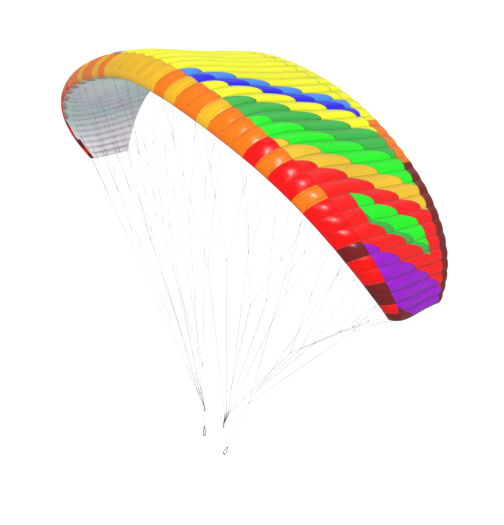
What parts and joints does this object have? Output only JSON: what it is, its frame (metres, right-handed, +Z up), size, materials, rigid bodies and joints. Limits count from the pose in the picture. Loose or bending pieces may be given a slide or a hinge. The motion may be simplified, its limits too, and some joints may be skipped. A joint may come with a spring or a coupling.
{
  "type": "paraglider wing",
  "caption": "Arched ram-air paraglider wing in flying shape, with inflated cells, cascaded suspension lines, risers and brake handles.",
  "frame": {"origin": "quarter-chord point of the middle rib, from where the air holds the wing up", "axes": "+X towards the wing's left tip, +Y from the leading edge to the trailing edge, +Z up"},
  "size_m": [9.3778, 2.6863, 7.6935],
  "materials": {
    "band_cloth": "coated ripstop nylon of the leading edge, satin, in ochre, orange, red and dark red cells",
    "upper_cloth": "coated ripstop nylon of the upper surface, satin, in yellow, green, amber, red and purple panels",
    "lower_cloth": "light grey ripstop nylon, slightly see-through",
    "tip_cloth": "dark red ripstop nylon of the tip panels",
    "rib_cloth": "stiff white ripstop nylon",
    "line_cord": "dark grey aramid cord",
    "webbing": "dark slate polyester webbing, stitched",
    "link_steel": "stainless quick links"
  },
  "bodies": {
    "root": {"brake_handle_left": "webbing", "brake_handle_right": "webbing", "leading_edge_band_inner_left": "band_cloth", "leading_edge_band_inner_right": "band_cloth", "leading_edge_band_middle_left": "band_cloth", "leading_edge_band_middle_right": "band_cloth", "leading_edge_band_outer_left": "band_cloth", "leading_edge_band_outer_right": "band_cloth", "lines_a_left": "line_cord", "lines_a_right": "line_cord", "lines_b_left": "line_cord", "lines_b_right": "line_cord", "lines_brake_left": "line_cord", "lines_brake_right": "line_cord", "lines_c_left": "line_cord", "lines_c_right": "line_cord", "link_a_left": "link_steel", "link_a_right": "link_steel", "link_b_left": "link_steel", "link_b_right": "link_steel", "link_c_left": "link_steel", "link_c_right": "link_steel", "lower_front_inner_left": "lower_cloth", "lower_front_inner_right": "lower_cloth", "lower_front_outer_left": "lower_cloth", "lower_front_outer_right": "lower_cloth", "lower_sail_left": "lower_cloth", "lower_sail_right": "lower_cloth", "rib_00": "rib_cloth", "rib_02_left": "rib_cloth", "rib_02_right": "rib_cloth", "rib_04_left": "rib_cloth", "rib_04_right": "rib_cloth", "rib_06_left": "rib_cloth", "rib_06_right": "rib_cloth", "rib_08_left": "rib_cloth", "rib_08_right": "rib_cloth", "rib_10_left": "rib_cloth", "rib_10_right": "rib_cloth", "rib_12_left": "rib_cloth", "rib_12_right": "rib_cloth", "rib_14_left": "rib_cloth", "rib_14_right": "rib_cloth", "rib_16_left": "rib_cloth", "rib_16_right": "rib_cloth", "rib_18_left": "rib_cloth", "rib_18_right": "rib_cloth", "rib_20_left": "rib_cloth", "rib_20_right": "rib_cloth", "rib_22_left": "rib_cloth", "rib_22_right": "rib_cloth", "rib_24_left": "rib_cloth", "rib_24_right": "rib_cloth", "riser_left": "webbing", "riser_right": "webbing", "tip_panel_left": "tip_cloth", "tip_panel_right": "tip_cloth", "upper_sail_left": "upper_cloth", "upper_sail_right": "upper_cloth"}
  },
  "joints": []
}
